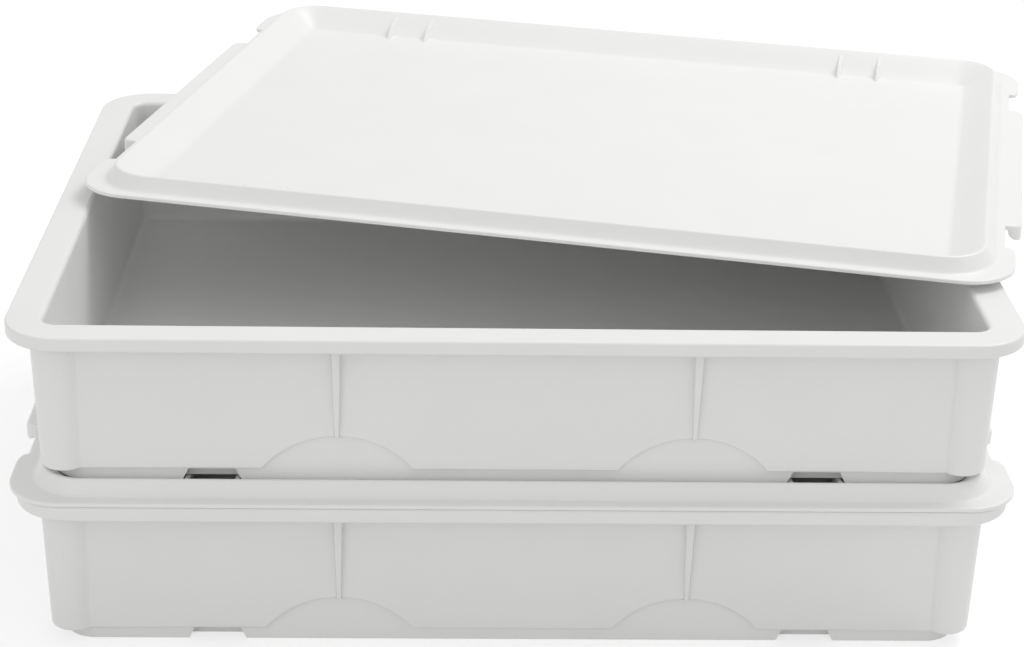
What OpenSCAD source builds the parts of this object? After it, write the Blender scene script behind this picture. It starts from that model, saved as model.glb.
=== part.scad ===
// Two stacking dough trays, each with a drop-on lid. Millimetres, +Z up.
// The origin is on the surface that the stack stands on, under the middle of the trays.
// The lower tray is closed by its lid, the upper tray stands in that lid's recess, and the
// upper lid lies askew on the upper tray's rim.

/* [Tray] */
// Length of the rim, left to right
tray_length = 440; // [360:1:530]
// Width of the rim, front to back
tray_width = 332; // [280:1:400]
// Height from the foot to the top of the rim
tray_height = 75; // [60:1:150]
// Draft of the walls on their outside, in degrees
outer_draft = 1.5; // [0.5:0.1:2]
// Draft of the walls on their inside, in degrees
inner_draft = 1.8; // [0.5:0.1:2]
// Thickness of the wall just under the rim
wall = 3.1; // [2:0.1:4]
// Thickness of the tray's floor
tray_floor = 3; // [2:0.1:5]

/* [Rim] */
// Width of the flat rim, from its outer edge to the opening
rim_width = 16.5; // [14:0.5:24]
// Thickness of the flat rim
rim_thickness = 3; // [2:0.1:4]
// Depth of the skirt below the top of the rim
skirt_depth = 6.5; // [5:0.5:12]
// Thickness of the skirt
skirt_thickness = 2.5; // [1.5:0.1:3]
// Radius of the rim's outer corners
rim_corner = 25; // [20:1:30]
// Radius of the opening's corners
opening_corner = 7; // [4:0.5:12]
// Size of the bevel around the opening
opening_bevel = 2; // [0.5:0.1:2.5]

/* [Corner columns] */
// How far the corner columns stand in from the rim's edge, at the top
column_inset = 10; // [8:0.5:12]
// Radius of the corner columns at the top
column_radius = 12.8; // [10:0.1:16]

/* [Foot] */
// Height of the band between the walls and the ground
foot_height = 6.5; // [5:0.1:10]
// How far the band stands back from the walls
foot_step = 1.8; // [1:0.1:2]
// Width of the rail that the tray stands on
foot_rail = 8; // [7:0.5:14]
// Radius of the band's corners
foot_corner = 14.5; // [12:0.5:18]
// Height of the hollow under the floor
foot_hollow = 4; // [2:0.5:6]

/* [Ribs and arches] */
// Distance of each rib and arch from the middle of the long wall
rib_offset = 78; // [60:1:90]
// Width of a rib under the rim
rib_top_width = 4.8; // [3:0.1:8]
// Width of a rib where it ends above its arch
rib_low_width = 2; // [1:0.1:3]
// How far a rib stands out of the wall under the rim
rib_top_depth = 3.3; // [2:0.1:4]
// How far a rib stands out of the wall where it ends
rib_low_depth = 1.6; // [1:0.1:2.5]
// Half the width of an arch at its foot
arch_half_width = 33; // [20:1:38]
// Height of an arch above the band
arch_height = 16; // [10:0.5:24]

/* [Stacking pockets] */
// Distance of each pocket from the middle of the long side
pocket_offset = 133; // [120:1:140]
// Width of a pocket at its top
pocket_top_width = 20.7; // [18:0.1:24]
// Width of a pocket at its mouth
pocket_mouth_width = 26.1; // [25:0.1:30]
// Height of a pocket
pocket_height = 5.6; // [4:0.1:6]
// Depth of a pocket into the foot rail
pocket_depth = 5.5; // [3:0.1:6]

/* [Lid] */
// Thickness of the lid
lid_thickness = 2; // [1.5:0.1:3]
// How far the lid's long edges lie inside the rim's edge
lid_edge_inset = 1; // [0.5:0.1:3]
// Distance from the rim's edge to the foot of the ridge
ridge_start = 6; // [5:0.1:7]
// Distance from the rim's edge to the outside of the ridge's crest
ridge_outer = 10.3; // [9.5:0.1:11]
// Distance from the rim's edge to the inside of the ridge's crest
ridge_inner = 12; // [11.5:0.1:13]
// Height of the ridge above the rim
ridge_height = 9; // [8:0.1:11]
// Distance from the rim's edge to the foot of the bevel inside the ridge
basin_start = 26.5; // [25:0.1:28]
// How far the top of the lid's floor lies below the rim
basin_drop = 1.5; // [0:0.1:3]

/* [Lid ends] */
// How far the lid's corners overhang the short sides of the rim
wing_overhang = 3.2; // [2:0.1:4]
// Distance from the middle of the short side to the start of a corner wing
wing_start = 118; // [110:1:125]
// How far the notch beside the tab lies inside the rim's edge
notch_inset = 1.8; // [1:0.1:3]
// Half the length of the tab on the short side
tab_half = 90; // [50:1:100]
// Gap between the rim and the tab's lip
lip_gap = 3.7; // [2:0.1:5]
// Thickness of the tab's lip
lip_thickness = 2.3; // [1.5:0.1:3]
// Depth of the tab's lip below the rim's top
lip_depth = 6.5; // [4:0.1:10]

/* [Gussets] */
// Distance between the two gussets of a pair, middle to middle
gusset_spacing = 22; // [20:0.1:22]
// Thickness of a gusset
gusset_thickness = 2; // [1:0.1:2]
// Distance from the rim's edge to the inner end of a gusset
gusset_end = 34; // [32:0.5:38]

/* [Fits] */
// Clearance between a tray's foot and the bevel that it stands on
seat_clearance = 0.15; // [0.05:0.05:0.3]

/* [Upper lid's resting place] */
// Turn of the upper lid on the rim, in degrees
askew_turn = -13.2; // [-15:0.1:-11]
// How far the upper lid's middle lies to the right of the tray's
askew_x = 42; // [35:1:48]
// How far the upper lid's middle lies behind the tray's
askew_y = 98; // [92:1:104]

/* [Hidden] */
$fn = 48;
eps = 1;
half_length = tray_length / 2;
half_width = tray_width / 2;

// Walls: distances in from the rim's edge, at the heights where they change
wall_top = tray_height - rim_thickness;
wall_inset_top = rim_width - wall;
wall_inset_low = wall_inset_top + (wall_top - foot_height) * tan(outer_draft);
cavity_floor = foot_hollow + tray_floor;
cavity_inset_low = rim_width + (tray_height - cavity_floor) * tan(inner_draft);
cavity_corner = rim_width + opening_corner;
column_corner = column_inset + column_radius;
column_inset_low = column_inset + (wall_top - foot_height) * tan(outer_draft);
foot_inset = wall_inset_low + foot_step;

// Ribs: from the arch's peak to the underside of the rim
rib_low = foot_height + arch_height;
rib_height = wall_top - rib_low;
rib_inset_top = wall_inset_top - rib_top_depth;
rib_inset_low = wall_inset_top + rib_height * tan(outer_draft) - rib_low_depth;
arch_radius = (pow(arch_half_width, 2) + pow(arch_height, 2)) / (2 * arch_height);

// Lid: all its sloping faces share one corner centre, which fits the foot's corners
bevel_slope = (ridge_height + basin_drop) / (basin_start - ridge_inner);
bevel_drop = lid_thickness * sqrt(1 + pow(bevel_slope, 2));
seat_height = ridge_height - (foot_inset - ridge_inner) * bevel_slope;
lid_corner = foot_inset + foot_corner - 2 * seat_clearance;
basin_low = basin_drop + lid_thickness;
under_bevel = basin_start - (bevel_drop - lid_thickness) / bevel_slope;
under_bevel_rise = ridge_height - eps + basin_low;
ridge_slope = (ridge_height - lid_thickness) / (ridge_outer - ridge_start);
groove_shift = lid_thickness * sqrt(1 + pow(1 / ridge_slope, 2));
groove_top = ridge_height - lid_thickness;
gusset_top = seat_height - 2 * seat_clearance;
lip_outer = half_length + lip_gap + lip_thickness;

// The stack: each tray's foot stands on the bevel of the lid below
stack_pitch = tray_height + seat_height + seat_clearance;

// The upper lid rests with its floor on the right rim and its left lip on the back rim
lip_cross_local = (half_width - askew_y + lip_outer * sin(askew_turn)) / cos(askew_turn);
lip_cross_x = askew_x - lip_outer * cos(askew_turn) - lip_cross_local * sin(askew_turn);
askew_tilt = asin((lip_depth - basin_low) / (half_length - lip_cross_x));
askew_lift = basin_low + seat_clearance;

// An upright block with round corners, its sides at a distance in from the rim's edge
module plate(inset_x, inset_y, corner, low, high) {
    x = half_length - inset_x;
    y = half_width - inset_y;
    translate([-x, corner - y, low])
        cube([2 * x, 2 * (y - corner), high - low]);
    translate([corner - x, -y, low])
        cube([2 * (x - corner), 2 * y, high - low]);
    for (side_x = [-1, 1], side_y = [-1, 1])
        translate([side_x * (x - corner), side_y * (y - corner), low])
            cylinder(h = high - low, r = corner);
}

// A block with sloping sides: its corners are cones about centres at one distance from the edge
module tub(low_inset, high_inset, centre, low, high) {
    span_x = half_length - centre;
    span_y = half_width - centre;
    out_low = centre - low_inset;
    out_high = centre - high_inset;
    height = high - low;
    translate([0, 0, low]) {
        for (side_x = [-1, 1], side_y = [-1, 1])
            translate([side_x * span_x, side_y * span_y, 0])
                cylinder(h = height, r1 = out_low, r2 = out_high);
        rotate([90, 0, 90])
            translate([0, 0, -span_x])
                linear_extrude(2 * span_x)
                    side_profile(span_y, out_low, out_high, height);
        rotate([90, 0, 0])
            translate([0, 0, -span_y])
                linear_extrude(2 * span_y)
                    side_profile(span_x, out_low, out_high, height);
    }
}

module side_profile(span, out_low, out_high, height) {
    polygon([
        [-span - out_low, 0],
        [span + out_low, 0],
        [span + out_high, height],
        [-span - out_high, height]
    ]);
}

// Turns a shape on the front side round to the back as well
module front_and_back() {
    children();
    rotate([0, 0, 180])
        children();
}

// A rib narrows and grows flatter from the rim down to the peak of its arch
module rib() {
    intersection() {
        translate([0, -half_width + foot_inset, rib_low])
            rotate([90, 0, 0])
                linear_extrude(foot_inset)
                    polygon([
                        [-rib_low_width / 2, 0],
                        [rib_low_width / 2, 0],
                        [rib_top_width / 2, rib_height],
                        [-rib_top_width / 2, rib_height]
                    ]);
        translate([-rib_top_width, 0, 0])
            rotate([90, 0, 90])
                linear_extrude(2 * rib_top_width)
                    polygon([
                        [-half_width + rib_inset_low, rib_low],
                        [-half_width + foot_inset, rib_low],
                        [-half_width + foot_inset, wall_top],
                        [-half_width + rib_inset_top, wall_top]
                    ]);
    }
}

// An arch sets the foot of the wall back to the plane of the band
module arch() {
    translate([0, -half_width + foot_inset, foot_height + arch_height - arch_radius])
        rotate([90, 0, 0])
            cylinder(h = foot_inset, r = arch_radius, $fn = 96);
}

// A pocket in the foot rail takes a pair of the lower lid's gussets
module pocket() {
    translate([0, -half_width + foot_inset + pocket_depth, 0])
        rotate([90, 0, 0])
            linear_extrude(pocket_depth + foot_step)
                polygon([
                    [-pocket_mouth_width / 2, -eps],
                    [pocket_mouth_width / 2, -eps],
                    [pocket_mouth_width / 2, 0],
                    [pocket_top_width / 2, pocket_height],
                    [-pocket_top_width / 2, pocket_height],
                    [-pocket_mouth_width / 2, 0]
                ]);
}

// One moulding: rim with skirt, drafted walls, corner columns, ribs, arches, band and foot rail
module tray() {
    color("whitesmoke")
        difference() {
            union() {
                plate(foot_inset, foot_inset, foot_corner, 0, max(cavity_floor, foot_height));
                tub(wall_inset_low, wall_inset_top, cavity_corner, foot_height, wall_top);
                for (side_x = [-1, 1], side_y = [-1, 1])
                    translate([
                        side_x * (half_length - column_corner),
                        side_y * (half_width - column_corner),
                        foot_height
                    ])
                        cylinder(
                            h = wall_top - foot_height,
                            r1 = column_corner - column_inset_low,
                            r2 = column_radius
                        );
                front_and_back()
                    for (side = [-1, 1])
                        translate([side * rib_offset, 0, 0])
                            rib();
                plate(0, 0, rim_corner, wall_top, tray_height);
                difference() {
                    plate(0, 0, rim_corner, tray_height - skirt_depth, tray_height);
                    plate(
                        skirt_thickness,
                        skirt_thickness,
                        rim_corner - skirt_thickness,
                        tray_height - skirt_depth - eps,
                        wall_top
                    );
                }
            }
            tub(cavity_inset_low, rim_width, cavity_corner, cavity_floor, tray_height);
            tub(
                rim_width,
                rim_width - opening_bevel,
                cavity_corner,
                tray_height - opening_bevel,
                tray_height
            );
            plate(
                foot_inset + foot_rail,
                foot_inset + foot_rail,
                foot_corner - foot_rail,
                -eps,
                foot_hollow
            );
            front_and_back()
                for (side = [-1, 1]) {
                    translate([side * rib_offset, 0, 0])
                        arch();
                    translate([side * pocket_offset, 0, 0])
                        pocket();
                }
        }
}

// The edge of the lid: overhanging corner wings, notches and a tab with a lip on each short side
module lid_edge() {
    difference() {
        plate(-wing_overhang, lid_edge_inset, rim_corner, 0, lid_thickness);
        for (side_x = [-1, 1])
            translate([
                side_x * (half_length - notch_inset + lip_outer / 2) - lip_outer / 2,
                -wing_start,
                -eps
            ])
                cube([lip_outer, 2 * wing_start, lid_thickness + 2 * eps]);
    }
    for (side = [0, 180])
        rotate([0, 0, side])
            tab();
}

// A tab reaches over the short side of the rim and turns down in a lip
module tab() {
    translate([half_length - ridge_start, -tab_half, 0])
        cube([lip_outer - half_length + ridge_start, 2 * tab_half, lid_thickness]);
    translate([lip_outer - lip_thickness, -tab_half, lip_thickness / 2 - lip_depth])
        cube([lip_thickness, 2 * tab_half, lip_depth]);
    translate([lip_outer - lip_thickness / 2, tab_half, lip_thickness / 2 - lip_depth])
        rotate([90, 0, 0])
            cylinder(h = 2 * tab_half, d = lip_thickness);
}

// A gusset is a thin fin on the bevel, inside the ridge
module gusset() {
    start = ridge_inner + (ridge_height - gusset_top) / bevel_slope / 2;
    start_height = ridge_height - (start - ridge_inner) * bevel_slope;
    translate([-gusset_thickness / 2, 0, 0])
        rotate([90, 0, 90])
            linear_extrude(gusset_thickness)
                polygon([
                    [start - half_width, start_height - eps],
                    [start - half_width, start_height],
                    [foot_inset + pocket_depth - seat_clearance - half_width, gusset_top],
                    [foot_inset + foot_rail - half_width, gusset_top],
                    [gusset_end - half_width, -basin_drop],
                    [gusset_end - half_width, -basin_drop - eps],
                    [basin_start - half_width, -basin_drop - eps]
                ]);
}

// One moulding: thin floor in a bevelled basin, ridge around it, flat edge and gussets
module lid() {
    color("white")
        union() {
            difference() {
                union() {
                    difference() {
                        union() {
                            lid_edge();
                            tub(ridge_start, ridge_outer, lid_corner, lid_thickness, ridge_height);
                        }
                        tub(
                            ridge_start + groove_shift - (lid_thickness + eps) / ridge_slope,
                            ridge_start + groove_shift + (groove_top - lid_thickness) / ridge_slope,
                            lid_corner,
                            -eps,
                            groove_top
                        );
                    }
                    tub(
                        under_bevel,
                        under_bevel - under_bevel_rise / bevel_slope,
                        lid_corner,
                        -basin_low,
                        ridge_height - eps
                    );
                }
                tub(basin_start, ridge_inner, lid_corner, -basin_drop, ridge_height);
            }
            front_and_back()
                for (side = [-1, 1], place = [-0.5, 0.5])
                    translate([side * pocket_offset + place * gusset_spacing, 0, 0])
                        gusset();
        }
}

module lower_tray() {
    tray();
}

module lower_lid() {
    translate([0, 0, tray_height])
        lid();
}

module upper_tray() {
    translate([0, 0, stack_pitch])
        tray();
}

// The upper lid is turned, then tilted about the outer edge of the right rim
module upper_lid() {
    translate([half_length, 0, stack_pitch + tray_height + askew_lift])
        rotate([0, askew_tilt, 0])
            translate([askew_x - half_length, askew_y, 0])
                rotate([0, 0, askew_turn])
                    lid();
}

lower_tray();
lower_lid();
upper_tray();
upper_lid();
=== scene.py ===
import math

import bmesh
import bpy
from mathutils import Matrix, Vector


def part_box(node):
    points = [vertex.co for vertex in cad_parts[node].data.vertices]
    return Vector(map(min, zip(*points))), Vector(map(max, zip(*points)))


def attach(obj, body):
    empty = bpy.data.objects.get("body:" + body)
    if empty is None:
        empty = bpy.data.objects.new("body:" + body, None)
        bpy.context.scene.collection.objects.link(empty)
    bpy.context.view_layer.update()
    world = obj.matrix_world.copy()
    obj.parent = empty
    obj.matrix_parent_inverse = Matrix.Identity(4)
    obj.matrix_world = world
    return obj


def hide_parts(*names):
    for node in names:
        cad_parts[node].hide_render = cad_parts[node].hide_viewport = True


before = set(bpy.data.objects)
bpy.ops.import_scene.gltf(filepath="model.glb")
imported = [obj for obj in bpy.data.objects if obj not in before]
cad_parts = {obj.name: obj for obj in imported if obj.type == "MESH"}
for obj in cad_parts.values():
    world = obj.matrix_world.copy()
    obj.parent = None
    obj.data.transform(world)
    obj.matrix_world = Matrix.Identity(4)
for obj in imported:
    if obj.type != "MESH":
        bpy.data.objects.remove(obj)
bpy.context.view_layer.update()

# Camera. It stands a metre in front of the trays, a little to the left, and looks down on them.
# Its aim and place are those at which the rims, columns and lid edges lie as in the photograph.
rim_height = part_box("upper_tray")[1][2]
image_width = 1024
focal_pixels = 2247.4
sensor_width = 36
picture_shift = -0.06
farthest_view = 100
camera_pitch = math.radians(22.32)
camera_yaw = math.radians(1.57)
camera_roll = math.radians(1.10)
camera_left = 0.0273
camera_distance = 1.0279
camera_above_rim = 0.3906
camera_place = Vector((-camera_left, -camera_distance, rim_height + camera_above_rim))
level_ahead = Vector((math.sin(camera_yaw), math.cos(camera_yaw), 0))
level_right = Vector((math.cos(camera_yaw), -math.sin(camera_yaw), 0))
ahead = level_ahead * math.cos(camera_pitch) - Vector((0, 0, math.sin(camera_pitch)))
upright = level_ahead * math.sin(camera_pitch) + Vector((0, 0, math.cos(camera_pitch)))
camera_right = level_right * math.cos(camera_roll) + upright * math.sin(camera_roll)
camera_up = upright * math.cos(camera_roll) - level_right * math.sin(camera_roll)
camera_turn = Matrix((camera_right, camera_up, -ahead)).transposed().to_4x4()
camera_data = bpy.data.cameras.new("photo_camera")
camera_data.sensor_fit = "HORIZONTAL"
camera_data.sensor_width = sensor_width
camera_data.lens = sensor_width * focal_pixels / image_width
camera_data.shift_y = picture_shift
camera_data.clip_end = farthest_view
photo_camera = bpy.data.objects.new("photo_camera", camera_data)
photo_camera.matrix_world = Matrix.Translation(camera_place) @ camera_turn
bpy.context.scene.collection.objects.link(photo_camera)
bpy.context.scene.camera = photo_camera
bpy.context.scene.view_settings.view_transform = "Standard"


# White polypropylene. It is satin all over, with a very fine grain from the mould, a slow wave
# where the walls cooled, and a slight change of tone from place to place.
grain_scale = 1400
grain_height = 0.05
wave_scale = 26
wave_middle = 0.5
gloss_change = 0.06
relief_strength = 0.25
relief_depth = 0.0004
plastic_ior = 1.49


def maths(tree, kind, first, second):
    """The result of a Math node, whose two inputs are numbers or other nodes' outputs."""
    node = tree.nodes.new("ShaderNodeMath")
    node.operation = kind
    for socket, value in zip(node.inputs, (first, second)):
        if isinstance(value, (int, float)):
            socket.default_value = value
        else:
            tree.links.new(value, socket)
    return node.outputs[0]


def noise(tree, place, scale, detail):
    node = tree.nodes.new("ShaderNodeTexNoise")
    node.inputs["Scale"].default_value = scale
    node.inputs["Detail"].default_value = detail
    tree.links.new(place, node.inputs["Vector"])
    return node.outputs["Fac"]


def moulded_surface():
    group = bpy.data.node_groups.new("moulded_surface", "ShaderNodeTree")
    sockets = group.interface
    sockets.new_socket("Tone", in_out="INPUT", socket_type="NodeSocketColor")
    for title in ("Mottle", "Gloss", "Gloss change", "Wave"):
        sockets.new_socket(title, in_out="INPUT", socket_type="NodeSocketFloat")
    sockets.new_socket("Color", in_out="OUTPUT", socket_type="NodeSocketColor")
    for title in ("Roughness", "Height"):
        sockets.new_socket(title, in_out="OUTPUT", socket_type="NodeSocketFloat")
    nodes = group.nodes
    link = group.links.new
    given = nodes.new("NodeGroupInput")
    result = nodes.new("NodeGroupOutput")
    place = nodes.new("ShaderNodeTexCoord").outputs["Object"]
    grain = noise(group, place, grain_scale, detail=2)
    wave = noise(group, place, wave_scale, detail=1)
    swing = maths(group, "SUBTRACT", wave, wave_middle)
    mottle = maths(group, "MULTIPLY", swing, given.outputs["Mottle"])
    tint = nodes.new("ShaderNodeVectorMath")
    tint.operation = "SCALE"
    link(given.outputs["Tone"], tint.inputs[0])
    link(maths(group, "ADD", mottle, 1), tint.inputs["Scale"])
    link(tint.outputs[0], result.inputs["Color"])
    change = maths(group, "MULTIPLY", swing, given.outputs["Gloss change"])
    link(maths(group, "ADD", given.outputs["Gloss"], change), result.inputs["Roughness"])
    slow = maths(group, "MULTIPLY", wave, given.outputs["Wave"])
    fine = maths(group, "MULTIPLY", grain, grain_height)
    link(maths(group, "ADD", slow, fine), result.inputs["Height"])
    return group


surface_group = moulded_surface()


def plastic(name, tone, gloss, mottle, wave):
    material = bpy.data.materials.new(name)
    material.use_nodes = True
    nodes = material.node_tree.nodes
    link = material.node_tree.links.new
    shader = nodes["Principled BSDF"]
    shader.inputs["IOR"].default_value = plastic_ior
    surface = nodes.new("ShaderNodeGroup")
    surface.node_tree = surface_group
    given = {"Tone": (*tone, 1), "Mottle": mottle, "Gloss": gloss, "Gloss change": gloss_change,
             "Wave": wave}
    for title, value in given.items():
        surface.inputs[title].default_value = value
    bump = nodes.new("ShaderNodeBump")
    bump.inputs["Strength"].default_value = relief_strength
    bump.inputs["Distance"].default_value = relief_depth
    link(surface.outputs["Color"], shader.inputs["Base Color"])
    link(surface.outputs["Roughness"], shader.inputs["Roughness"])
    link(surface.outputs["Height"], bump.inputs["Height"])
    link(bump.outputs["Normal"], shader.inputs["Normal"])
    return material


# Trays. Each is one moulding of white plastic: a drafted box with a flat rim and skirt, round
# columns at the corners, two ribs above shallow arches on each long wall, and a foot rail set back
# from the walls, with pockets that take the gussets of the lid below.
tray_low, tray_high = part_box("lower_tray")
half_length = (tray_high[0] - tray_low[0]) / 2
half_width = (tray_high[1] - tray_low[1]) / 2
tray_height = tray_high[2] - tray_low[2]
rim_width = 0.0165
rim_thickness = 0.003
rim_corner = 0.025
rim_round = 0.0012
skirt_depth = 0.0065
skirt_thickness = 0.0025
skirt_root = 0.001
opening_corner = 0.007
opening_round = 0.0025
wall_thickness = 0.0031
outer_draft = math.tan(math.radians(1.5))
inner_draft = math.tan(math.radians(1.8))
cavity_floor = 0.007
cavity_round = 0.003
column_inset = 0.010
column_radius = 0.0128
foot_height = 0.0065
foot_step = 0.0018
foot_rail = 0.008
foot_corner = 0.0145
foot_round = 0.0006
foot_round_middle = 0.3 * foot_round
foot_hollow = 0.004
hollow_edge = 0.0005
hollow_round = 0.001
rib_offset = 0.078
rib_top_half = 0.0024
rib_low_half = 0.0010
rib_top_depth = 0.0033
rib_low_depth = 0.0016
rib_edge = 0.0006
rib_edge_drop = 0.3
rib_flank = 0.0003
valley_half = 0.017
valley_depth = 0.0010
valley_fade = 3
arch_half_width = 0.033
arch_height = 0.016
pocket_offset = 0.133
pocket_top_half = 0.01035
pocket_mouth_half = 0.01305
pocket_height = 0.0056
pocket_depth = 0.0055
pocket_side = 0.0002
wall_top = tray_height - rim_thickness
wall_inset_top = rim_width - wall_thickness
foot_inset = wall_inset_top + (wall_top - foot_height) * outer_draft + foot_step
cavity_corner = rim_width + opening_corner
arch_radius = (arch_half_width ** 2 + arch_height ** 2) / (2 * arch_height)
pocket_slope = (pocket_mouth_half - pocket_top_half) / pocket_height

# The arc of a corner column runs on past the quarter turn, to where it meets the walls.
column_overrun = math.acos(1 - rib_top_depth / column_radius)

# The bend from the wall into the step above the foot: how far in each of its points is, and how high.
wall_foot_bend = ((0, 0.0008), (0.0001, 0.0004), (0.0004, 0.0001), (0.0008, 0))

# Where the tray's mesh has its points: steps along a wall and round a corner, and shares of its
# height. A hair is less than the gap between any two of these points.
corner_steps = 14
middle_stops = (0, 0.014, 0.028, 0.0425)
valley_start = 0.0012
valley_stop_gap = 0.0018
arch_stop_gap = 0.002
pocket_stop_gap = 0.004
short_wall_end = 0.12
short_wall_gap = 0.03
wall_shares = (1, 0.985, 0.95, 0.88, 0.76, 0.64, 0.52, 0.4, 0.28, 0.17, 0.08, 0.03)
inner_wall_gap = 0.012
inner_wall_end = 0.010
foot_middle = 0.003
stop_digits = 6
hair = 0.0001


def loop_columns(long_stops, short_stops):
    """Columns once round a piece, from the front: turn, share of the corner or None, place."""
    columns = []
    for turn, stops in enumerate((long_stops, short_stops, long_stops, short_stops)):
        columns += [(turn, None, stop) for stop in stops]
        columns += [(turn, step / corner_steps, None) for step in range(corner_steps + 1)]
    return columns


def turned(turn, along, out, height):
    """A point of the front side, brought to its own side by quarter turns."""
    return Matrix.Rotation(turn * math.pi / 2, 3, "Z") @ Vector((along, -out, height))


def corner_point(turn, share, inset_x, inset_y, radius, height, overrun=0.0):
    """A point of a round corner: share 0 is where its side ends, 1 where the next one starts."""
    halves = (half_length - inset_x, half_width - inset_y)
    angle = -math.pi / 2 - overrun + share * (math.pi / 2 + 2 * overrun)
    along = halves[turn % 2] - radius + radius * math.cos(angle)
    out = halves[1 - turn % 2] - radius - radius * math.sin(angle)
    return turned(turn, along, out, height)


def plain_ring(inset, height, radius):
    """A ring that has the same inset and height all round."""
    def ring(column):
        turn, share, place = column
        if share is None:
            out = (half_width, half_length)[turn % 2] - inset
            return turned(turn, place, out, height)
        return corner_point(turn, share, inset, inset, radius, height)
    return ring


def angles(start, end, steps):
    return [math.radians(start + (end - start) * step / steps) for step in range(steps + 1)]


def arc(inset, height, radius, start, end, steps):
    """Points of an arc in the section: 0 degrees points into the tray, 90 degrees up."""
    return [(inset + radius * math.cos(angle), height + radius * math.sin(angle))
            for angle in angles(start, end, steps)]


def arch_rise(turn, place):
    reach = abs(abs(place) - rib_offset)
    if turn % 2 or reach >= arch_half_width:
        return 0
    return math.sqrt(arch_radius ** 2 - reach ** 2) - arch_radius + arch_height


def rib_relief(place, height):
    """Where a point of a long wall lies along it, and how far a rib or a valley moves it out."""
    along = place
    relief = 0
    centre = math.copysign(rib_offset, place)
    reach = abs(place - centre)
    rise = (height - foot_height - arch_height) / (wall_top - foot_height - arch_height)
    rise = min(max(rise, 0), 1)
    half = rib_low_half + (rib_top_half - rib_low_half) * rise
    depth = rib_low_depth + (rib_top_depth - rib_low_depth) * rise
    if reach < rib_top_half + rib_flank + hair:
        along = centre + (place - centre) * half / rib_top_half
    if reach < rib_top_half + hair:
        drop = rib_edge_drop if reach > rib_top_half - hair else 0
        relief = depth * (1 - drop)
    elif reach < valley_half:
        fade = min(1, rise * valley_fade)
        relief = -valley_depth * fade * (1 - (reach / valley_half) ** 2) ** 2
    return along, relief


def wall_ring(share, extra_inset=0.0, extra_height=0.0):
    """A ring of the outer wall: share 1 is under the rim, 0 at the foot of the wall."""
    def ring(column):
        turn, corner_share, place = column
        low = foot_height
        if corner_share is None:
            low += arch_rise(turn, place)
        height = low + (wall_top - low) * share + extra_height
        slope = (wall_top - height) * outer_draft
        if corner_share is not None:
            radius = column_radius - slope - extra_inset
            inset = column_inset + slope + extra_inset
            return corner_point(turn, corner_share, inset, inset, radius, height, column_overrun)
        out = (half_width, half_length)[turn % 2] - wall_inset_top - slope - extra_inset
        along, relief = (place, 0) if turn % 2 else rib_relief(place, height)
        return turned(turn, along, out + relief, height)
    return ring


def foot_ring(height, extra_inset=0.0, follows_arch=False, in_pocket=True):
    """A ring of the foot, which goes in at the pockets of the long sides."""
    def ring(column):
        turn, corner_share, place = column
        if corner_share is not None:
            inset = foot_inset + extra_inset
            radius = foot_corner - extra_inset
            return corner_point(turn, corner_share, inset, inset, radius, height)
        out = (half_width, half_length)[turn % 2] - foot_inset - extra_inset
        along = place
        level = height
        if turn % 2 == 0:
            if follows_arch:
                level += arch_rise(turn, place)
            centre = math.copysign(pocket_offset, place)
            reach = abs(place - centre)
            if reach < pocket_mouth_half + hair and height < pocket_height + 2 * hair:
                half = pocket_mouth_half - pocket_slope * min(height, pocket_height)
                along = centre + (place - centre) * half / pocket_mouth_half
                if in_pocket and reach < pocket_mouth_half - hair:
                    out -= pocket_depth - extra_inset
        return turned(turn, along, out, level)
    return ring


def shell(columns, rings):
    """One closed skin: a flat cap, a loop of edges extruded through all the rings, a flat cap."""
    mesh_edit = bmesh.new()
    index = mesh_edit.verts.layers.int.new("column")
    verts = []
    for number, column in enumerate(columns):
        vert = mesh_edit.verts.new(rings[0](column))
        vert[index] = number
        verts.append(vert)
    loop = [mesh_edit.edges.new((a, b)) for a, b in zip(verts, verts[1:] + verts[:1])]
    bmesh.ops.contextual_create(mesh_edit, geom=loop)
    for ring in rings[1:]:
        grown = bmesh.ops.extrude_edge_only(mesh_edit, edges=loop)["geom"]
        new_verts = {item for item in grown if isinstance(item, bmesh.types.BMVert)}
        for vert in new_verts:
            vert.co = ring(columns[vert[index]])
        edges = [item for item in grown if isinstance(item, bmesh.types.BMEdge)]
        loop = [edge for edge in edges if all(vert in new_verts for vert in edge.verts)]
    bmesh.ops.contextual_create(mesh_edit, geom=loop)
    bmesh.ops.recalc_face_normals(mesh_edit, faces=mesh_edit.faces)
    return mesh_edit


def finished(name, mesh_edit, place, material, body, sharp_from=38):
    """One piece, put in its place: smooth, but for edges that turn by sharp_from degrees or more."""
    mesh = bpy.data.meshes.new(name)
    mesh_edit.to_mesh(mesh)
    mesh_edit.free()
    mesh.transform(place)
    mesh.materials.append(material)
    mesh.shade_smooth()
    mesh.set_sharp_from_angle(angle=math.radians(sharp_from))
    piece = bpy.data.objects.new(name, mesh)
    bpy.context.scene.collection.objects.link(piece)
    even = piece.modifiers.new("even_shading", "WEIGHTED_NORMAL")
    even.keep_sharp = True
    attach(piece, body)
    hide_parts(body)


def spread(low, high, gap):
    """Even places from low to high, with steps of a gap or less, but for rounding."""
    rounding = 0.001
    count = max(1, math.ceil((high - low) / gap - rounding))
    return [low + (high - low) * number / count for number in range(count + 1)]


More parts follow.
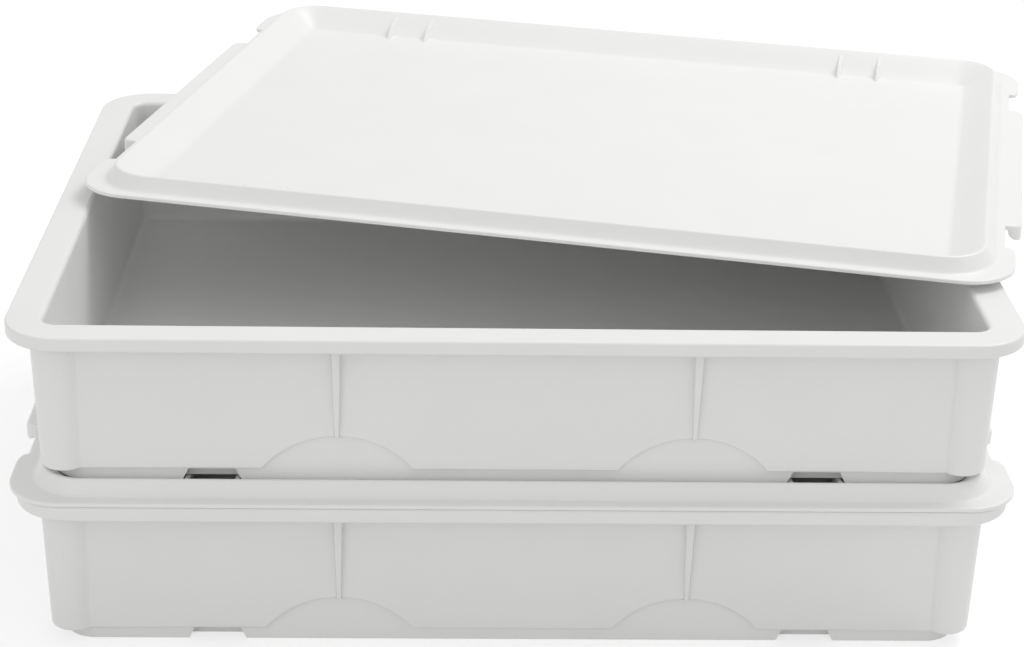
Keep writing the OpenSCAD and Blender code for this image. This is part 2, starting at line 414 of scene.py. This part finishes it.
def tray_columns():
    rib = [0, rib_top_half - rib_edge, rib_top_half, rib_top_half + rib_flank]
    rib += spread(rib_top_half + valley_start, valley_half, valley_stop_gap)
    rib += spread(valley_half + arch_stop_gap, arch_half_width, arch_stop_gap)
    pocket = [0, pocket_stop_gap, 2 * pocket_stop_gap, pocket_mouth_half - pocket_side,
              pocket_mouth_half]
    right = list(middle_stops)
    for centre, reaches in ((rib_offset, rib), (pocket_offset, pocket)):
        right += [centre - reach for reach in reaches] + [centre + reach for reach in reaches]
    right = sorted(set(round(stop, stop_digits) for stop in right))
    long_stops = [-stop for stop in right[:0:-1]] + right
    return loop_columns(long_stops, spread(-short_wall_end, short_wall_end, short_wall_gap))


def tray_rings():
    """From the cavity's floor up the inside, over the rim, down the walls and under the foot."""
    inner_low = rim_width + (tray_height - cavity_floor) * inner_draft
    section = arc(inner_low + cavity_round, cavity_floor + cavity_round, cavity_round, 270, 180,
                  steps=4)
    top = tray_height - opening_round
    section += [(rim_width + (tray_height - height) * inner_draft, height)
                for height in spread(cavity_floor + inner_wall_gap, top - inner_wall_end,
                                     inner_wall_gap)]
    section += arc(rim_width - opening_round, top, opening_round, 0, 90, steps=6)
    rings = [plain_ring(inset, height, cavity_corner - inset) for inset, height in section]
    section = [(rim_width / 2, tray_height)]
    section += arc(rim_round, tray_height - rim_round, rim_round, 90, 180, steps=4)
    tip = skirt_thickness / 2
    section += arc(tip, tray_height - skirt_depth + tip, tip, 180, 360, steps=8)
    section += [(skirt_thickness, wall_top - skirt_root), (skirt_thickness + skirt_root, wall_top)]
    rings += [plain_ring(inset, height, rim_corner - inset) for inset, height in section]
    rings += [wall_ring(share) for share in wall_shares]
    rings += [wall_ring(0, inset, height) for inset, height in wall_foot_bend]
    rings += [foot_ring(foot_height, follows_arch=True, in_pocket=False)]
    rings += [foot_ring(pocket_height + hair, in_pocket=False)]
    rings += [foot_ring(height) for height in (pocket_height, foot_middle, foot_round)]
    rings += [foot_ring(foot_round_middle, foot_round_middle), foot_ring(0, foot_round)]
    inner = foot_inset + foot_rail
    section = [(inner - hollow_edge, 0), (inner, hollow_edge), (inner, foot_hollow - hollow_round),
               (inner + hollow_round, foot_hollow)]
    rings += [plain_ring(inset, height, foot_inset + foot_corner - inset)
              for inset, height in section]
    return rings


tray_plastic = plastic("tray_plastic", tone=(0.86, 0.86, 0.85), gloss=0.36, mottle=0.03, wave=0.5)
for body in ("lower_tray", "upper_tray"):
    place = Matrix.Translation((0, 0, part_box(body)[0][2]))
    tray = shell(tray_columns(), tray_rings())
    finished(body + "_moulding", tray, place, tray_plastic, body)


# Lids. Each is one thin moulding of white plastic: a flat basin with bevelled sides, a ridge
# around it, a flat edge that lies on the rim, and on each short side a tab that turns down in a lip
# between two overhanging corners. Pairs of gussets on the bevels fit the pockets of the next foot.
lid_thickness = 0.002
lid_edge_inset = 0.001
edge_round = 0.0008
under_round = 0.0005
ridge_start = 0.006
ridge_outer = 0.0103
ridge_inner = 0.012
ridge_height = 0.009
crest_round = 0.0013
basin_start = 0.0265
basin_drop = 0.0015
groove_mouth = 0.0006
groove_mouth_run = 0.0005
groove_round = 0.0008
groove_crown = 0.0003
wing_overhang = 0.0032
wing_start = 0.118
wing_root = 0.0006
wing_round = 0.008
notch_inset = 0.0018
tab_half = 0.090
tab_round = 0.006
lip_gap = 0.0037
lip_thickness = 0.0023
lip_depth = 0.0065
lip_round = 0.002
lip_fade = 0.5
gusset_spacing = 0.022
gusset_thickness = 0.002
gusset_end = 0.034
gusset_root = 0.001
gusset_round = 0.0003
gusset_weld = 0.00002
seat_clearance = 0.00015
ridge_slope = (ridge_height - lid_thickness) / (ridge_outer - ridge_start)
bevel_slope = (ridge_height + basin_drop) / (basin_start - ridge_inner)
bevel_drop = lid_thickness * math.hypot(1, bevel_slope)
seat_height = ridge_height - (foot_inset - ridge_inner) * bevel_slope
lid_corner = foot_inset + foot_corner - 2 * seat_clearance
basin_low = basin_drop + lid_thickness
lip_out = lip_gap + lip_thickness

# Soft bends, each by its points: how far past the corner of the bend, and how high. A point of the
# lip's root starts with the inset that it has where the edge has no lip.
basin_bend = ((0.002, 0), (0.0007, 0.0001), (-0.0007, 0.0006))
ridge_bend = ((0.0010, 0.0015), (0.0003, 0.0005), (-0.0006, 0))
under_bend = ((-0.0006, 0.0005), (0.0008, 0))
lip_root = ((0.0012, 0, -0.0012), (0.0013, 0.0003, -0.0004), (0.0014, 0.0012, 0))

# Where the lid's mesh has its points, as for the tray.
bevel_shares = (0.3, 0.6, 0.9)
tab_stop_gap = 0.021
edge_stop_gap = 0.02
corner_gap = 0.003
round_lead = 0.0002


def lid_columns():
    """Places along the short side carry how far the edge lies in, and how much of it is lip."""
    half = [(place, -lip_out, 1) for place in spread(0, tab_half - tab_round, tab_stop_gap)]
    half += [(tab_half - tab_round + tab_round * math.sin(angle),
              -lip_out + tab_round * (1 - math.cos(angle)), math.cos(angle) ** lip_fade)
             for angle in angles(0, 90, steps=5)[1:-1]]
    notch_middle = (tab_half + wing_start) / 2
    half += [(tab_half, 0, 0), (tab_half + hair, notch_inset, 0), (notch_middle, notch_inset, 0)]
    half += [(wing_start, notch_inset, 0), (wing_start + hair, wing_root, 0)]
    half += [(wing_start + wing_round * (1 - math.cos(angle)),
              wing_root - (wing_overhang + wing_root) * math.sin(angle), 0)
             for angle in angles(0, 90, steps=4)[1:]]
    short = [(-place, inset, lip) for place, inset, lip in half[:0:-1]] + half
    last = half_length - lid_corner - corner_gap
    return loop_columns(spread(-last, last, edge_stop_gap), short)


def lid_ring(inset, height, radius):
    plain = plain_ring(inset, height, radius)

    def ring(column):
        turn, share, place = column
        if share is None and turn % 2:
            return plain((turn, share, place[0]))
        return plain(column)
    return ring


def edge_ring(inset, height, lip_inset, lip_height):
    """A ring round the lid's edge: its inset and height there, and those it has on the lip."""
    def ring(column):
        turn, share, place = column
        if share is not None:
            return corner_point(turn, share, inset - wing_overhang, lid_edge_inset + inset,
                                rim_corner - inset, height)
        if turn % 2 == 0:
            return turned(turn, place, half_width - lid_edge_inset - inset, height)
        along, edge, lip = place
        across = inset + (lip_inset - inset) * lip
        level = height + (lip_height - height) * lip
        return turned(turn, along, half_length - edge - across, level)
    return ring


def top_rings():
    """From the basin's floor up the bevel, over the ridge and down to the flat edge."""
    section = [(basin_start + past, -basin_drop + rise) for past, rise in basin_bend]
    section += [(basin_start - share * (basin_start - ridge_inner),
                 -basin_drop + share * (ridge_height + basin_drop)) for share in bevel_shares]
    section += arc((ridge_outer + ridge_inner) / 2, ridge_height - crest_round, crest_round,
                   90 - math.degrees(math.atan(bevel_slope)),
                   90 + math.degrees(math.atan(ridge_slope)), steps=8)
    section += [(ridge_start + past, lid_thickness + rise) for past, rise in ridge_bend]
    return [lid_ring(inset, height, lid_corner - inset) for inset, height in section]


def edge_rings():
    """Round the edge, and on the tabs round the lip, to the flat underside."""
    rings = [edge_ring(edge_round + round_lead, lid_thickness, lip_round + round_lead, lid_thickness)]
    for angle in angles(0, 90, steps=5)[1:]:
        inward = 1 - math.sin(angle)
        down = 1 - math.cos(angle)
        rings.append(edge_ring(edge_round * inward, lid_thickness - edge_round * down,
                               lip_round * inward, lid_thickness - lip_round * down))
    tip = lip_thickness / 2
    for angle in angles(0, 180, steps=8):
        inward = 1 - math.cos(angle)
        up = 1 - math.sin(angle)
        rings.append(edge_ring(under_round * inward, under_round * up,
                               tip * inward, -lip_depth + tip * up))
    rings += [edge_ring(inset, 0, lip_thickness + past, rise) for inset, past, rise in lip_root]
    return rings


def under_rings():
    """From the flat underside up into the groove under the ridge, and down under the basin."""
    groove = ridge_start + lid_thickness * math.hypot(1, 1 / ridge_slope)
    groove_top = ridge_height - lid_thickness
    under_bevel = basin_start - (bevel_drop - lid_thickness) / bevel_slope

    def groove_side(height):
        return groove + (height - lid_thickness) / ridge_slope

    shoulder = groove_top - groove_round
    section = [(groove_side(0) - groove_mouth_run, 0), (groove_side(groove_mouth), groove_mouth),
               (groove_side(shoulder), shoulder),
               (groove_side(groove_top), groove_top - groove_crown),
               (under_bevel - (shoulder + basin_low) / bevel_slope, shoulder)]
    section += [(under_bevel + past, -basin_low + rise) for past, rise in under_bend]
    return [lid_ring(inset, height, lid_corner - inset) for inset, height in section]


def add_gusset(mesh_edit, along, facing):
    """A thin fin with rounded edges: its outline is drawn as a face, made thick and bevelled."""
    top = seat_height - 2 * seat_clearance
    start = ridge_inner + (ridge_height - top) / bevel_slope / 2
    start_height = ridge_height - (start - ridge_inner) * bevel_slope
    outline = [(start, start_height - gusset_root), (start, start_height),
               (foot_inset + pocket_depth - seat_clearance, top), (foot_inset + foot_rail, top),
               (gusset_end, -basin_drop), (gusset_end, -basin_drop - gusset_root),
               (basin_start, -basin_drop - gusset_root)]
    fin = bmesh.new()
    verts = [fin.verts.new((-gusset_thickness / 2, inset - half_width, height))
             for inset, height in outline]
    face = fin.faces.new(verts)
    grown = bmesh.ops.extrude_face_region(fin, geom=[face])["geom"]
    moved = [item for item in grown if isinstance(item, bmesh.types.BMVert)]
    bmesh.ops.translate(fin, verts=moved, vec=(gusset_thickness, 0, 0))
    bmesh.ops.recalc_face_normals(fin, faces=fin.faces)
    bmesh.ops.bevel(fin, geom=fin.edges, offset=gusset_round, segments=2, affect="EDGES",
                    profile=0.5, material=-1, clamp_overlap=True)
    bmesh.ops.remove_doubles(fin, verts=fin.verts, dist=gusset_weld)
    turn = Matrix.Rotation(facing, 4, "Z")
    bmesh.ops.transform(fin, matrix=Matrix.Translation((along, 0, 0)) @ turn, verts=fin.verts)
    part = bpy.data.meshes.new("fin")
    fin.to_mesh(part)
    fin.free()
    mesh_edit.from_mesh(part)
    bpy.data.meshes.remove(part)


def lid_shell():
    """A lid with its gussets, two for each of the four pockets of the foot that it carries."""
    lid = shell(lid_columns(), top_rings() + edge_rings() + under_rings())
    for facing in (math.pi, 0):
        for pocket in (-pocket_offset, pocket_offset):
            for aside in (-gusset_spacing / 2, gusset_spacing / 2):
                add_gusset(lid, pocket + aside, facing)
    return lid


lid_plastic = plastic("lid_plastic", tone=(0.88, 0.88, 0.87), gloss=0.33, mottle=0.03, wave=0.4)
level_place = Matrix.Translation((0, 0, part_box("lower_tray")[1][2]))
finished("lower_lid_moulding", lid_shell(), level_place, lid_plastic, "lower_lid")

# The upper lid lies askew, with its floor on the right rim and its left lip on the back rim.
askew_turn = math.radians(-13.2)
askew_x = 0.042
askew_y = 0.098
lip_end = half_length + lip_out
lip_cross = (half_width - askew_y + lip_end * math.sin(askew_turn)) / math.cos(askew_turn)
lip_cross_x = askew_x - lip_end * math.cos(askew_turn) - lip_cross * math.sin(askew_turn)
askew_tilt = math.asin((lip_depth - basin_low) / (half_length - lip_cross_x))
askew_place = Matrix.Translation((half_length, 0, rim_height + basin_low + seat_clearance))
askew_place = askew_place @ Matrix.Rotation(askew_tilt, 4, "Y")
askew_place = askew_place @ Matrix.Translation((askew_x - half_length, askew_y, 0))
askew_place = askew_place @ Matrix.Rotation(askew_turn, 4, "Z")
finished("upper_lid_moulding", lid_shell(), askew_place, lid_plastic, "upper_lid")


# Floor and light. The floor is a wide white sheet that keeps the trays' shadow, and glows a little
# where it is looked at. One broad lamp stands high to the right and a weaker one in front to the
# left, in a room of even white light.
floor_reach = 12
floor_paint = 0.8
floor_shown = 0.5
floor_glow = 0.6
room_strength = 0.70
lamp_aim = (0, 0, 0.1)


def looked_at(tree, other_ray):
    """1 for the camera's own rays and for one other kind, 0 for all the rest."""
    path = tree.nodes.new("ShaderNodeLightPath")
    return maths(tree, "MAXIMUM", path.outputs["Is Camera Ray"], path.outputs[other_ray])


def stage_floor():
    edit = bmesh.new()
    bmesh.ops.create_grid(edit, x_segments=1, y_segments=1, size=floor_reach)
    mesh = bpy.data.meshes.new("floor")
    edit.to_mesh(mesh)
    edit.free()
    sheet = bpy.data.objects.new("floor", mesh)
    bpy.context.scene.collection.objects.link(sheet)
    material = bpy.data.materials.new("white_sheet")
    material.use_nodes = True
    nodes = material.node_tree.nodes
    link = material.node_tree.links.new
    nodes.clear()
    output = nodes.new("ShaderNodeOutputMaterial")
    paint = nodes.new("ShaderNodeBsdfDiffuse")
    paint.inputs["Color"].default_value = (floor_paint, floor_paint, floor_paint, 1)
    shown = nodes.new("ShaderNodeBsdfDiffuse")
    shown.inputs["Color"].default_value = (floor_shown, floor_shown, floor_shown, 1)
    glow = nodes.new("ShaderNodeEmission")
    glow.inputs["Color"].default_value = (1, 1, 1, 1)
    glow.inputs["Strength"].default_value = floor_glow
    both = nodes.new("ShaderNodeAddShader")
    link(shown.outputs[0], both.inputs[0])
    link(glow.outputs[0], both.inputs[1])
    mix = nodes.new("ShaderNodeMixShader")
    link(looked_at(material.node_tree, "Is Glossy Ray"), mix.inputs[0])
    link(paint.outputs[0], mix.inputs[1])
    link(both.outputs[0], mix.inputs[2])
    link(mix.outputs[0], output.inputs["Surface"])
    sheet.data.materials.append(material)


def room_light():
    world = bpy.data.worlds.new("white_room")
    bpy.context.scene.world = world
    world.use_nodes = True
    nodes = world.node_tree.nodes
    link = world.node_tree.links.new
    background = nodes["Background"]
    background.inputs["Color"].default_value = (1, 1, 1, 1)
    level = nodes.new("ShaderNodeMapRange")
    level.inputs["To Min"].default_value = room_strength
    level.inputs["To Max"].default_value = 1
    link(looked_at(world.node_tree, "Is Transmission Ray"), level.inputs["Value"])
    link(level.outputs[0], background.inputs["Strength"])


def lamp(name, place, power, size):
    data = bpy.data.lights.new(name, "AREA")
    data.energy = power
    data.shape = "SQUARE"
    data.size = size
    thing = bpy.data.objects.new(name, data)
    thing.location = place
    thing.rotation_euler = (Vector(lamp_aim) - Vector(place)).to_track_quat("-Z", "Y").to_euler()
    bpy.context.scene.collection.objects.link(thing)


stage_floor()
room_light()
lamp("high_right", place=(0.9, 0.5, 1.7), power=13, size=0.9)
lamp("left_front", place=(-1.0, -1.8, 0.9), power=3, size=1.0)
